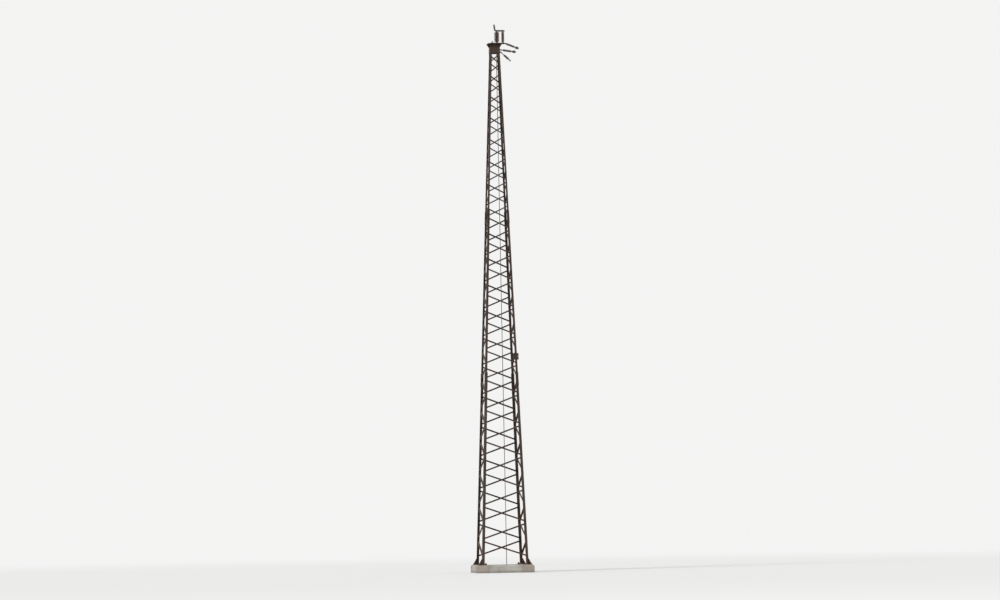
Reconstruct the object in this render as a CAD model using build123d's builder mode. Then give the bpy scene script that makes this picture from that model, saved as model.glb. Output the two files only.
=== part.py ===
"""A tall lattice mast that carries the cross-span wires over a railway yard.

Four angle-iron legs stand on shoes on a concrete plinth and lean in to a plated
head. Each of the four sides is braced by one zigzag of angle bars, and every side
shows the same pattern from outside. The head carries an outrigger with two post
insulators and a bar between them, and three insulated ends for span wires.

Sizes are in millimetres. X runs across the tracks, Y along them, Z up from the
ground. The origin is the middle of the plinth's underside.
"""

import math
import os
from dataclasses import dataclass

from build123d import *

# Plinth
plinth_margin = 90
plinth_height = 350
plinth_bevel = 50

# Outline of the lattice, over the outer corners of the legs
foot_width = 2150
top_width = 420
mast_height = 24450

# Leg angles
leg_thickness = 10
lower_leg_width = 120
middle_leg_width = 100
upper_leg_width = 80

# Zigzag bracing
panel_ratio = 0.985
lower_panels = 11
middle_panels = 12
upper_panels = 15
lower_bar_width = 70
middle_bar_width = 65
upper_bar_width = 55
bar_thickness = 6
bar_end_gap = 140
bolt_line_share = 0.58
bar_overrun = 22

# Shoes
shoe_plate_width = 380
shoe_plate_thickness = 30
shoe_rib_height = 260
shoe_rib_reach = 130
shoe_rib_nose = 40
shoe_rib_thickness = 12
shoe_clearance = 60
anchor_spacing = 280
anchor_hole_diameter = 38

# Splices
splice_length = 600
splice_thickness = 10

# Head
head_height = 420
head_plate_thickness = 12
cap_width = 680
cap_thickness = 20
head_rib_height = 170
head_rib_thickness = 10
head_rib_spacing = 300
head_rib_margin = 20

# Outrigger
outrigger_start = -180
outrigger_end = 460
outrigger_width = 120
outrigger_height = 60
outrigger_thickness = 8
back_lug_x = -94
back_lug_rise = 55

# Insulators, whose rounds have many flats
insulator_sides = 12
shed_rim_share = 0.13
shed_rise_share = 0.25
shed_slope_share = 0.4

# Post insulators
inner_post_x = 120
outer_post_x = 400
post_foot_width = 116
post_foot_thickness = 16
post_collar_diameter = 104
post_collar_height = 34
post_length = 450
post_core_diameter = 96
inner_shed_diameter = 250
outer_shed_diameter = 150
post_sheds = 10

# Link bar on the posts, and its horn
saddle_base = 20
saddle_height = 84
saddle_width = 60
saddle_depth = 60
saddle_play = 0.3
link_bar_height = 80
link_bar_thickness = 10
link_overhang = 90
horn_lean = 45
horn_height = 290
horn_bend_radius = 60
terminal_hole_diameter = 14
terminal_hole_margin = 30

# Span insulators
lug_thickness = 14
lug_radius = 28
lug_neck = 55
lug_tail = 90
lug_hole_diameter = 22
pin_play = 0.3
fork_cheek_thickness = 12
fork_cheek_length = 60
fork_width = 56
fork_slot_play = 4
fork_nut_radius = 17
fork_nut_height = 14
socket_diameter = 92
socket_length = 50
lower_link_length = 50
stay_link_length = 150
link_width = 36
rod_diameter = 70
rod_shed_diameter = 120
span_rod_length = 290
stay_rod_length = 180
rod_shed_pitch = 58
clamp_neck_width = 36
clamp_neck_thickness = 14
clamp_neck_length = 36
clamp_length = 180
clamp_height = 116
clamp_thickness = 50
clamp_wedge_share = 0.3
eye_diameter = 22
eye_share = 0.75
stay_clamp_share = 0.55

upper_span_slope = 21
lower_span_slope = 8
stay_slope = 42
lower_lug_drop = 270
stay_lug_drop = 375

# Earth strip
strip_width = 30
strip_thickness = 6
strip_offset = 60

# Side wire plate
wire_plate_gap = 580
wire_plate_length = 300
wire_plate_inner = 190
wire_plate_outer = 70
wire_plate_thickness = 12

# Places that follow from the sizes above
leg_foot = plinth_height + shoe_plate_thickness
leg_top = mast_height - cap_thickness
head_foot = leg_top - head_height
lacing_foot = leg_foot + shoe_rib_height + shoe_clearance
lacing_top = head_foot
lean = (foot_width - top_width) / 2 / (leg_top - leg_foot)
tilt = math.atan(lean)
panel_count = lower_panels + middle_panels + upper_panels
panel_sum = (1 - panel_ratio**panel_count) / (1 - panel_ratio)
first_panel = (lacing_top - lacing_foot) / panel_sum
outrigger_top = mast_height + outrigger_height
post_bottom = outrigger_top + post_foot_thickness + post_collar_height
post_top = post_bottom + post_length
link_height = post_top + saddle_base + link_bar_height / 2
shoe_centre = foot_width / 2 - lower_leg_width / 3
plinth_width = 2 * (shoe_centre + shoe_plate_width / 2 + plinth_margin)
lug_hole_reach = foot_width / 2 - lean * (head_foot - leg_foot) + head_plate_thickness + lug_neck
lower_eye = Vector(lug_hole_reach, 0, mast_height - lower_lug_drop)
stay_eye = Vector(lug_hole_reach, 0, mast_height - stay_lug_drop)
upper_eye = Vector(outrigger_end + lug_neck, 0, mast_height + outrigger_height / 2)


@dataclass
class Stage:
    """One length of the mast between splices."""

    name: str
    first: int
    panels: int
    leg_width: float
    bar_width: float

    @property
    def last(self):
        return self.first + self.panels


lower = Stage("lower", 0, lower_panels, lower_leg_width, lower_bar_width)
middle = Stage("middle", lower.last, middle_panels, middle_leg_width, middle_bar_width)
upper = Stage("upper", middle.last, upper_panels, upper_leg_width, upper_bar_width)
stages = [lower, middle, upper]

corner_names = ["front_left", "front_right", "back_right", "back_left"]
side_names = ["front", "right", "back", "left"]


def level(k):
    """Height of the k-th panel line: each panel is a little shorter than the one below."""
    return lacing_foot + first_panel * (1 - panel_ratio**k) / (1 - panel_ratio)


def half_width(z):
    """Half of the mast's width over the legs at height z."""
    return foot_width / 2 - lean * (z - leg_foot)


def turned(part, quarter):
    """A copy of a front or front-left piece, turned about the mast by quarter turns."""
    return part.rotate(Axis.Z, 90 * quarter)


def save(part, name):
    part.label = name
    export_step(part, f"parts/{name}.step")


# Plinth


def make_plinth():
    with BuildPart() as plinth:
        with BuildSketch():
            Rectangle(plinth_width, plinth_width)
        extrude(amount=plinth_height)
        chamfer(plinth.edges().group_by(Axis.Z)[-1], length=plinth_bevel)
    return plinth.part


# Legs


def leg_angle(z, width, thickness, outside=0):
    """Sketch of the front-left leg's section at height z, grown outwards by outside."""
    corner = -half_width(z) - outside
    with BuildSketch(Plane.XY.offset(z)) as section:
        with Locations((corner, corner)):
            Rectangle(width + outside, thickness, align=(Align.MIN, Align.MIN))
            Rectangle(thickness, width + outside, align=(Align.MIN, Align.MIN))
    return section.sketch


def leaning_angle(bottom, top, width, thickness, outside=0):
    """A front-left angle that follows the mast's corner line from bottom to top."""
    run = math.sqrt(1 + 2 * lean**2) * (top - bottom)
    with BuildPart() as angle:
        extrude(leg_angle(bottom, width, thickness, outside), amount=run, dir=(lean, lean, 1))
    return angle.part


def make_leg(stage):
    bottom = leg_foot if stage is lower else level(stage.first)
    top = leg_top if stage is upper else level(stage.last)
    return leaning_angle(bottom, top, stage.leg_width, leg_thickness)


def make_splice(stage):
    """Cover angle over the joint at the top of a stage, outside the two leg ends."""
    joint = level(stage.last)
    start = joint - splice_length / 2
    end = joint + splice_length / 2
    return leaning_angle(start, end, stage.leg_width, splice_thickness, splice_thickness)


# Shoes


def shoe_rib():
    """Outline of a rib against the leg, drawn as distance from the mast's axis and height."""
    top = leg_foot + shoe_rib_height
    foot = half_width(leg_foot)
    head = half_width(top)
    with BuildLine() as outline:
        Polyline(
            (-foot, leg_foot),
            (-foot - shoe_rib_reach, leg_foot),
            (-foot - shoe_rib_reach, leg_foot + shoe_rib_nose),
            (-head - shoe_rib_nose / 2, top),
            (-head, top),
            close=True,
        )
    return outline.wires()[0]


def make_shoe():
    """Front-left shoe: base plate with two ribs outside the leg."""
    rib_place = -half_width(leg_foot) + lower_leg_width / 2
    with BuildPart() as shoe:
        with BuildSketch(Plane.XY.offset(plinth_height)):
            with Locations((-shoe_centre, -shoe_centre)):
                Rectangle(shoe_plate_width, shoe_plate_width)
                with GridLocations(anchor_spacing, anchor_spacing, 2, 2):
                    Circle(anchor_hole_diameter / 2, mode=Mode.SUBTRACT)
        extrude(amount=shoe_plate_thickness)
        for plane in (Plane.XZ.offset(-rib_place), Plane.YZ.offset(rib_place)):
            with BuildSketch(plane):
                make_face(shoe_rib().edges())
            extrude(amount=shoe_rib_thickness / 2, both=True)
    return shoe.part


# Bracing


def face_plane():
    """Plane of the bracing on the front: the inner surface of the leg flanges."""
    return Plane(
        origin=(0, -half_width(leg_foot) + leg_thickness, leg_foot),
        x_dir=(1, 0, 0),
        z_dir=(0, -1, lean),
    )


def on_face(u, z):
    """A point across and up the front, as local coordinates of face_plane."""
    return Vector(u, (z - leg_foot) / math.cos(tilt))


def bar_ends(k, stage):
    """The two bolt points of bar k on the front: up to the left, then up to the right."""
    bolt_line = bolt_line_share * stage.leg_width
    low = level(k) + bar_end_gap / 2
    high = level(k + 1) - bar_end_gap / 2
    side = 1 if k % 2 == 0 else -1
    start = on_face(side * (half_width(low) - bolt_line), low)
    end = on_face(-side * (half_width(high) - bolt_line), high)
    return start, end


def bar_strips(stage, height, offset):
    """Sketch of a stage's bars, as strips of one height, set above the bars' centre lines."""
    with BuildSketch(face_plane()) as strips:
        for k in range(stage.first, stage.last):
            start, end = bar_ends(k, stage)
            run = end - start
            slope = math.degrees(math.atan2(run.Y, run.X))
            upwards = Vector(-run.Y, run.X).normalized() * (1 if run.X > 0 else -1)
            centre = (start + end) / 2 + upwards * offset
            with Locations((centre.X, centre.Y)):
                Rectangle(run.length + 2 * bar_overrun, height, rotation=slope)
    return strips.sketch


def make_lacing(stage):
    """The zigzag of angle bars on the front, between the levels of one stage."""
    with BuildPart() as lacing:
        extrude(bar_strips(stage, stage.bar_width, 0), amount=-bar_thickness)
        rim = (stage.bar_width - bar_thickness) / 2
        extrude(bar_strips(stage, bar_thickness, rim), amount=-stage.bar_width)
    return lacing.part


# Head


def make_head_plate(overlap, lugs=False):
    """Front plate of the head, with two ribs that prop the cap's overhang."""
    low = half_width(head_foot) + overlap
    high = half_width(leg_top) + overlap
    plate_face = Plane(
        origin=(0, -half_width(head_foot), head_foot),
        x_dir=(1, 0, 0),
        z_dir=(0, -1, lean),
    )
    rise = head_height / math.cos(tilt)
    with BuildPart() as plate:
        with BuildSketch(plate_face):
            with BuildLine():
                Polyline((-low, 0), (low, 0), (high, rise), (-high, rise), close=True)
            make_face()
        extrude(amount=head_plate_thickness, dir=(0, -1, 0))
        with BuildSketch(Plane.YZ) as rib:
            with BuildLine():
                Polyline(
                    (plate_skin(leg_top - head_rib_height), leg_top - head_rib_height),
                    (plate_skin(leg_top), leg_top),
                    (-cap_width / 2 + head_rib_margin, leg_top),
                    (-cap_width / 2 + head_rib_margin, leg_top - head_rib_margin),
                    close=True,
                )
            make_face()
        with Locations((-head_rib_spacing / 2, 0), (head_rib_spacing / 2, 0)):
            add(extrude(rib.sketch, amount=head_rib_thickness / 2, both=True, mode=Mode.PRIVATE))
        if lugs:
            add(make_wire_lug(lower_lug_drop))
            add(make_wire_lug(stay_lug_drop))
    return plate.part


def plate_skin(z):
    """Y of the front head plate's outer surface at height z."""
    return -half_width(z) - head_plate_thickness


def make_wire_lug(drop):
    """Lug on the front head plate, with its hole this far below the mast's top."""
    z = mast_height - drop
    with BuildPart() as lug:
        with BuildSketch(Plane.YZ):
            with BuildLine():
                Polyline(
                    (plate_skin(z + lug_radius), z + lug_radius),
                    (plate_skin(z - lug_radius), z - lug_radius),
                    (-lug_hole_reach - lug_radius / 2, z - lug_radius),
                    (-lug_hole_reach - lug_radius, z - lug_radius / 2),
                    (-lug_hole_reach - lug_radius, z + lug_radius / 2),
                    (-lug_hole_reach - lug_radius / 2, z + lug_radius),
                    close=True,
                )
            make_face()
            with Locations((-lug_hole_reach, z)):
                Circle(lug_hole_diameter / 2, mode=Mode.SUBTRACT)
        extrude(amount=lug_thickness / 2, both=True)
    return lug.part


def make_cap():
    with BuildPart() as cap:
        with BuildSketch(Plane.XY.offset(leg_top)):
            Rectangle(cap_width, cap_width)
        extrude(amount=cap_thickness)
    return cap.part


# Outrigger


def back_lug():
    """Outline of the small lug on top of the outrigger, with its hole."""
    centre = outrigger_top + back_lug_rise
    with BuildSketch(Plane.XZ) as lug:
        with Locations((back_lug_x, centre + lug_radius)):
            Rectangle(2 * lug_radius, back_lug_rise + lug_radius, align=(Align.CENTER, Align.MAX))
        chamfer(lug.vertices().group_by(Axis.Z)[-1], length=lug_radius / 2)
        with Locations((back_lug_x, centre)):
            Circle(lug_hole_diameter / 2, mode=Mode.SUBTRACT)
    return lug.sketch


def make_outrigger():
    """Channel laid flanges down on the cap, with an eye plate let in at its free end."""
    with BuildPart() as outrigger:
        with BuildSketch(Plane.YZ.offset(outrigger_start)):
            with Locations((0, mast_height)):
                Rectangle(outrigger_width, outrigger_height, align=(Align.CENTER, Align.MIN))
                Rectangle(
                    outrigger_width - 2 * outrigger_thickness,
                    outrigger_height - outrigger_thickness,
                    align=(Align.CENTER, Align.MIN),
                    mode=Mode.SUBTRACT,
                )
        extrude(amount=outrigger_end - outrigger_start)
        with BuildSketch(Plane.XZ) as eye:
            with Locations((outrigger_end - lug_tail, upper_eye.Z)):
                Rectangle(
                    lug_tail + lug_neck + lug_radius,
                    2 * lug_radius,
                    align=(Align.MIN, Align.CENTER),
                )
            chamfer(eye.vertices().group_by(Axis.X)[-1], length=lug_radius / 2)
            with Locations((upper_eye.X, upper_eye.Z)):
                Circle(lug_hole_diameter / 2, mode=Mode.SUBTRACT)
        extrude(amount=lug_thickness / 2, both=True)
        add(extrude(back_lug(), amount=lug_thickness / 2, both=True, mode=Mode.PRIVATE))
    return outrigger.part


# Insulators


def make_shed(core, shed, pitch):
    """One shed on the Z axis: flat below, with a thin rim and a top that slopes to the core."""
    slope = shed_slope_share * pitch
    with BuildPart() as ring:
        with BuildSketch():
            RegularPolygon(shed / 2, insulator_sides)
        extrude(amount=shed_rim_share * pitch + slope)
        chamfer(ring.edges().group_by(Axis.Z)[-1], length=slope, length2=(shed - core) / 2)
    return ring.part


def make_ribbed(core, shed, length, sheds):
    """An insulator on the Z axis, standing on the origin: a core with evenly spaced sheds."""
    pitch = length / sheds
    ring = make_shed(core, shed, pitch)
    with BuildPart() as insulator:
        with BuildSketch():
            RegularPolygon(core / 2, insulator_sides)
        extrude(amount=length)
        with Locations(*[(0, 0, (n + shed_rise_share) * pitch) for n in range(sheds)]):
            add(ring)
    return insulator.part


# Post insulators


def make_post_foot(x):
    """Square foot of a post, with a collar round the insulator's end."""
    with BuildPart() as foot:
        with BuildSketch(Plane.XY.offset(outrigger_top)):
            with Locations((x, 0)):
                Rectangle(post_foot_width, post_foot_width)
        extrude(amount=post_foot_thickness)
        with BuildSketch(Plane.XY.offset(outrigger_top + post_foot_thickness)):
            with Locations((x, 0)):
                Circle(post_collar_diameter / 2)
        extrude(amount=post_collar_height)
    return foot.part


def make_post(x, shed):
    body = make_ribbed(post_core_diameter, shed, post_length, post_sheds)
    return body.moved(Location((x, 0, post_bottom)))


def make_saddle(x):
    """Cap of a post, with two cheeks that hold the link bar on edge."""
    with BuildPart() as saddle:
        with BuildSketch(Plane.YZ.offset(x)):
            with Locations((0, post_top)):
                Rectangle(saddle_depth, saddle_height, align=(Align.CENTER, Align.MIN))
            with Locations((0, post_top + saddle_base)):
                Rectangle(
                    link_bar_thickness + 2 * saddle_play,
                    saddle_height,
                    align=(Align.CENTER, Align.MIN),
                    mode=Mode.SUBTRACT,
                )
        extrude(amount=saddle_width / 2, both=True)
    return saddle.part


def make_link_bar():
    """Flat bar on edge over both posts, bent up at the mast's side into a horn."""
    turn = math.atan2(horn_height, horn_lean)
    bend = inner_post_x - saddle_width / 2 - horn_bend_radius * math.tan(turn / 2)
    end = outer_post_x + link_overhang
    tip = Vector(bend - horn_lean, link_height + horn_height)
    back = Vector(math.cos(turn), -math.sin(turn))
    horn_hole = tip + back * terminal_hole_margin
    with BuildPart() as bar:
        with BuildSketch(Plane.XZ):
            with BuildLine():
                FilletPolyline(
                    (end, link_height),
                    (bend, link_height),
                    (tip.X, tip.Y),
                    radius=horn_bend_radius,
                )
            trace(line_width=link_bar_height)
            with Locations((end - terminal_hole_margin, link_height), (horn_hole.X, horn_hole.Y)):
                Circle(terminal_hole_diameter / 2, mode=Mode.SUBTRACT)
        extrude(amount=link_bar_thickness / 2, both=True)
    return bar.part


# Span insulators


def slope_plane(start, slope):
    """Plane at a lug's hole: its normal runs down the wire, its x axis is the pin's."""
    angle = math.radians(slope)
    return Plane(origin=start, x_dir=(0, 1, 0), z_dir=(math.cos(angle), 0, -math.sin(angle)))


def make_fork(link):
    """Forked end with its bolt, about the origin, pulling along Z, on a flat link or none."""
    spread = lug_thickness + 2 * fork_cheek_thickness
    with BuildPart() as fork:
        with BuildSketch(Plane.XY.offset(fork_cheek_length + link)):
            Circle(socket_diameter / 2)
        extrude(amount=socket_length)
        if link:
            with BuildSketch(Plane.XY.offset(fork_cheek_length)):
                Rectangle(lug_thickness, link_width)
            extrude(amount=link)
        with BuildSketch(Plane.YZ) as cheek:
            with Locations((0, -fork_width / 2)):
                Rectangle(
                    fork_width,
                    fork_width / 2 + fork_cheek_length,
                    align=(Align.CENTER, Align.MIN),
                )
            chamfer(cheek.vertices().group_by(Axis.Y)[0], length=fork_width / 4)
        extrude(amount=spread / 2, both=True)
        with BuildSketch(Plane.YZ):
            with Locations((0, lug_radius + fork_slot_play)):
                Rectangle(fork_width * 2, lug_radius + fork_width, align=(Align.CENTER, Align.MAX))
        extrude(amount=lug_thickness / 2, both=True, mode=Mode.SUBTRACT)
        with BuildSketch(Plane.YZ):
            Circle(lug_hole_diameter / 2 - pin_play)
        extrude(amount=spread / 2, both=True)
        for side in (-1, 1):
            with BuildSketch(Plane.YZ.offset(side * spread / 2)):
                RegularPolygon(fork_nut_radius, 6)
            extrude(amount=side * fork_nut_height)
    return fork.part


def make_clamp(share=1.0):
    """Wedge clamp for the wire's end, with a socket, a neck and an eye, along Z."""
    length = clamp_length * share
    height = clamp_height * share
    base = socket_length + clamp_neck_length
    with BuildPart() as clamp:
        with BuildSketch():
            Circle(socket_diameter / 2)
        extrude(amount=socket_length)
        with BuildSketch(Plane.XY.offset(socket_length)):
            Rectangle(clamp_neck_thickness, clamp_neck_width)
        extrude(amount=clamp_neck_length)
        with BuildSketch(Plane.YZ):
            with BuildLine():
                Polyline(
                    (-height / 4, base),
                    (height / 4, base),
                    (height / 2, base + length * clamp_wedge_share),
                    (height / 2, base + length * (1 - clamp_wedge_share)),
                    (height / 4, base + length),
                    (-height / 4, base + length),
                    (-height / 2, base + length * (1 - clamp_wedge_share)),
                    (-height / 2, base + length * clamp_wedge_share),
                    close=True,
                )
            make_face()
            with Locations((0, base + length * eye_share)):
                Circle(eye_diameter / 2, mode=Mode.SUBTRACT)
        extrude(amount=clamp_thickness / 2, both=True)
    return clamp.part


def span_pieces(eye, slope, rod_length, share=1.0, link=0):
    """Fork, insulator rod and clamp of one wire end, placed on their lug."""
    place = slope_plane(eye, slope).location
    rod_start = fork_cheek_length + link + socket_length
    sheds = round(rod_length / rod_shed_pitch)
    fork = make_fork(link).moved(place)
    rod = make_ribbed(rod_diameter, rod_shed_diameter, rod_length, sheds)
    rod = rod.moved(place * Location((0, 0, rod_start)))
    clamp = make_clamp(share).moved(place * Location((0, 0, rod_start + rod_length)))
    return fork, rod, clamp


# Earth strip and side wire plate


def make_earth_strip():
    """Flat strip up the outside of the front bars, from the plinth to the head."""
    foot = on_face(strip_offset, plinth_height)
    head = on_face(strip_offset, head_foot)
    with BuildPart() as strip:
        with BuildSketch(face_plane()):
            with Locations((strip_offset, (foot.Y + head.Y) / 2)):
                Rectangle(strip_width, head.Y - foot.Y)
        extrude(amount=strip_thickness, dir=(0, -1, 0))
    return strip.part


def make_wire_plate():
    """Plate on the front right leg, above the lower splice, with an eye beyond the corner."""
    splice_end = level(lower.last) + splice_length / 2
    middle_z = splice_end + wire_plate_gap + wire_plate_length / 2
    edge = half_width(middle_z)
    centre = on_face(edge, middle_z)
    with BuildPart() as plate:
        with BuildSketch(face_plane().offset(leg_thickness * math.cos(tilt))):
            with Locations((centre.X - wire_plate_inner, centre.Y)):
                Rectangle(
                    wire_plate_inner + wire_plate_outer,
                    wire_plate_length,
                    align=(Align.MIN, Align.CENTER),
                )
            with Locations((centre.X + wire_plate_outer / 2, centre.Y)):
                Circle(eye_diameter / 2, mode=Mode.SUBTRACT)
        extrude(amount=wire_plate_thickness)
    return plate.part


def main():
    os.makedirs("parts", exist_ok=True)
    save(make_plinth(), "foundation_plinth")
    shoe = make_shoe()
    for quarter, corner in enumerate(corner_names):
        save(turned(shoe, quarter), f"shoe_{corner}")
    for stage in stages:
        leg = make_leg(stage)
        lacing = make_lacing(stage)
        for quarter, corner in enumerate(corner_names):
            save(turned(leg, quarter), f"{stage.name}_leg_{corner}")
        for quarter, side in enumerate(side_names):
            save(turned(lacing, quarter), f"{stage.name}_lacing_{side}")
    for stage in (lower, middle):
        splice = make_splice(stage)
        covers = Compound([turned(splice, quarter) for quarter in range(4)])
        save(covers, f"{stage.name}_splice_covers")
    save(make_head_plate(head_plate_thickness), "head_plate_front")
    save(turned(make_head_plate(head_plate_thickness), 2), "head_plate_back")
    save(turned(make_head_plate(0, lugs=True), 1), "head_plate_right")
    save(turned(make_head_plate(0), 3), "head_plate_left")
    save(make_cap(), "head_cap")
    save(make_outrigger(), "outrigger")
    save(Compound([make_post_foot(inner_post_x), make_post_foot(outer_post_x)]), "post_feet")
    save(make_post(inner_post_x, inner_shed_diameter), "inner_post_insulator")
    save(make_post(outer_post_x, outer_shed_diameter), "outer_post_insulator")
    save(Compound([make_saddle(inner_post_x), make_saddle(outer_post_x)]), "post_saddles")
    save(make_link_bar(), "link_bar")
    ends = [
        span_pieces(upper_eye, upper_span_slope, span_rod_length),
        span_pieces(lower_eye, lower_span_slope, span_rod_length, link=lower_link_length),
        span_pieces(stay_eye, stay_slope, stay_rod_length, stay_clamp_share, stay_link_length),
    ]
    save(Compound([fork for fork, rod, clamp in ends]), "span_forks")
    save(Compound([rod for fork, rod, clamp in ends]), "span_insulators")
    save(Compound([clamp for fork, rod, clamp in ends]), "wire_clamps")
    save(make_earth_strip(), "earth_strip")
    save(make_wire_plate(), "side_wire_plate")


main()
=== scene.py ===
"""A railway lattice mast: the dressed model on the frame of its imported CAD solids.

All places are in metres, with Z up from the ground and the front of the mast towards -Y.
"""

import math

import bpy
import numpy as np
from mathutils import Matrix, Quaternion, Vector


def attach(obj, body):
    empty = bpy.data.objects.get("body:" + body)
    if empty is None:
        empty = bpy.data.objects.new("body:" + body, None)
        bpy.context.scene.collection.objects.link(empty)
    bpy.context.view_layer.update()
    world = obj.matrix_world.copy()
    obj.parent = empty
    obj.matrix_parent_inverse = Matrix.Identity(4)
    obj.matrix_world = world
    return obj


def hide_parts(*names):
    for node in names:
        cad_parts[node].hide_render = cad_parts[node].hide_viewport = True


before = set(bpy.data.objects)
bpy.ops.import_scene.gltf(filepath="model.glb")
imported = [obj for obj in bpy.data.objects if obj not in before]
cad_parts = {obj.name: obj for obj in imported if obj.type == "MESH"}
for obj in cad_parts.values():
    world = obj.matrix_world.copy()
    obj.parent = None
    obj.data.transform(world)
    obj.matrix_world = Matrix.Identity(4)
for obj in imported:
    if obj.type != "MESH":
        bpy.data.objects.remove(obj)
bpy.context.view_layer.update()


# Foundation plinth
# A block of rough concrete cast between boards, with fins at their joints, a bevelled top
# edge and chipped arrises. Rust has run down from the shoes, and the foot is dark with damp.


class Shade:
    """A value, colour or vector that some nodes give. Arithmetic on it adds Math nodes."""

    def __init__(self, nodes, socket):
        self.nodes = nodes
        self.socket = socket

    def worked(self, operation, *operands):
        """A Math node for this operation on values or shades."""
        return self.nodes.add(
            "ShaderNodeMath", {"operation": operation}, dict(enumerate(operands))
        )

    def __add__(self, other):
        return self.worked("ADD", self, other)

    __radd__ = __add__

    def __mul__(self, other):
        return self.worked("MULTIPLY", self, other)

    __rmul__ = __mul__

    def __sub__(self, other):
        return self.worked("SUBTRACT", self, other)

    def __rsub__(self, other):
        return self.worked("SUBTRACT", other, self)

    def __neg__(self):
        return self.worked("MULTIPLY", self, -1.0)

    def __abs__(self):
        return self.worked("ABSOLUTE", self)

    def least(self, other):
        return self.worked("MINIMUM", self, other)

    def most(self, other):
        return self.worked("MAXIMUM", self, other)

    def rising(self, low, high):
        """0 below low, 1 above high, and a smooth rise between them."""
        return self.nodes.add(
            "ShaderNodeMapRange",
            {"interpolation_type": "SMOOTHSTEP"},
            {"Value": self, "From Min": low, "From Max": high},
        )


class NodeWork:
    """The nodes of a finish or of the surroundings, with one method that adds any node."""

    def __init__(self, tree):
        self.tree = tree

    def add(self, kind, settings, inputs, output=0):
        """Adds a node: its settings first, then a value or a link for each named socket."""
        node = self.tree.nodes.new(kind)
        for name, value in settings.items():
            setattr(node, name, value)
        for name, value in inputs.items():
            if isinstance(value, Shade):
                self.tree.links.new(value.socket, node.inputs[name])
            else:
                node.inputs[name].default_value = value
        return Shade(self, node.outputs[output])

    def mixed(self, share, first, second):
        """Colour first with this share of colour second."""
        inputs = {0: share, 6: first, 7: second}
        return self.add("ShaderNodeMix", {"data_type": "RGBA"}, inputs, 2)


class Finish(NodeWork):
    """A material worked out from the place on the mast, which its Object coordinates give."""

    def __init__(self, name, **constants):
        self.material = bpy.data.materials.new(name)
        self.material.use_nodes = True
        super().__init__(self.material.node_tree)
        self.shader = self.tree.nodes["Principled BSDF"]
        for socket, value in constants.items():
            self.shader.inputs[socket.replace("_", " ")].default_value = value
        self.place = self.add("ShaderNodeTexCoord", {}, {}, "Object")
        self.across, self.along, self.height = (self.axis(self.place, n) for n in range(3))
        self.upward = self.axis(self.add("ShaderNodeNewGeometry", {}, {}, "Normal"), 2)

    def axis(self, vector, number):
        """One part of a vector: number is 0 for X, 1 for Y and 2 for Z."""
        return self.add("ShaderNodeSeparateXYZ", {}, {0: vector}, number)

    def grain(self, scale, detail, stretch=(1.0, 1.0, 1.0), roughness=0.55):
        """Cloudy noise from 0 to 1, so many clouds a metre, stretched where stretch is below 1."""
        place = self.add(
            "ShaderNodeVectorMath", {"operation": "MULTIPLY"}, {0: self.place, 1: stretch}
        )
        return self.add(
            "ShaderNodeTexNoise",
            {},
            {"Vector": place, "Scale": scale, "Detail": detail, "Roughness": roughness},
        )

    def pits(self, scale):
        """Distance to the nearest of many scattered points, so many a metre each way."""
        return self.add("ShaderNodeTexVoronoi", {}, {"Vector": self.place, "Scale": scale})

    def coat(self, colour, roughness, relief, depth):
        """Joins the colour, the roughness and a relief of this depth in metres to the shader."""
        normal = self.add("ShaderNodeBump", {}, {"Distance": depth, "Height": relief})
        self.tree.links.new(colour.socket, self.shader.inputs["Base Color"])
        self.tree.links.new(roughness.socket, self.shader.inputs["Roughness"])
        self.tree.links.new(normal.socket, self.shader.inputs["Normal"])


def finish_nodes(finish, *names):
    """Gives CAD nodes their finish, through their own material slots."""
    for name in names:
        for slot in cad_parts[name].material_slots:
            slot.material = finish.material


foot_half, shoe_half, plinth_top = 1.075, 0.190, 0.350
shoe_centre = foot_half - 0.040
board_width, board_cut = 0.116, 0.004

concrete = Finish("board_marked_concrete")
concrete.damp = concrete.grain(2.2, 5.0)
concrete.sand = concrete.grain(90.0, 4.0)
concrete.blots = concrete.grain(9.0, 6.0)
concrete.holes = 1.0 - concrete.pits(26.0).rising(0.05, 0.14)
concrete.holes = concrete.holes * concrete.blots.rising(0.50, 0.62)
concrete.wall = 1.0 - concrete.upward.rising(0.30, 0.60)
concrete.boards = concrete.grain(110.0, 4.0, (0.03, 0.03, 1.0)) * concrete.wall
board_edge = concrete.height.worked("PINGPONG", concrete.height + board_cut, board_width / 2)
board_edge = (1.0 - board_edge.rising(0.0006, 0.0035)) * concrete.wall
beside_shoe = abs(abs(concrete.across) - shoe_centre).most(
    abs(abs(concrete.along) - shoe_centre)
)
run_marks = concrete.grain(16.0, 3.0, (1.0, 1.0, 0.12))
rust_run = 1.0 - (beside_shoe + 0.16 * run_marks).rising(shoe_half + 0.04, shoe_half + 0.27)
rust_run = rust_run * (0.40 + 0.80 * run_marks.rising(0.35, 0.70))
foot_damp = 1.0 - (concrete.height + 0.10 * concrete.damp).rising(0.06, 0.19)
stone = concrete.mixed(
    concrete.damp.rising(0.30, 0.70), (0.34, 0.32, 0.29, 1.0), (0.48, 0.46, 0.42, 1.0)
)
stone = concrete.mixed(0.30 * concrete.sand, stone, (0.20, 0.19, 0.17, 1.0))
stone = concrete.mixed(0.45 * board_edge, stone, (0.17, 0.16, 0.14, 1.0))
stone = concrete.mixed(0.8 * concrete.holes, stone, (0.12, 0.11, 0.10, 1.0))
stone = concrete.mixed(0.60 * foot_damp, stone, (0.13, 0.12, 0.09, 1.0))
stone = concrete.mixed(rust_run, stone, (0.170, 0.078, 0.030, 1.0))
concrete.coat(
    stone,
    0.82 + 0.12 * concrete.sand - 0.15 * foot_damp,
    0.35 * concrete.sand + 0.5 * concrete.blots + 0.35 * concrete.boards - 1.2 * concrete.holes,
    0.004,
)

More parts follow.
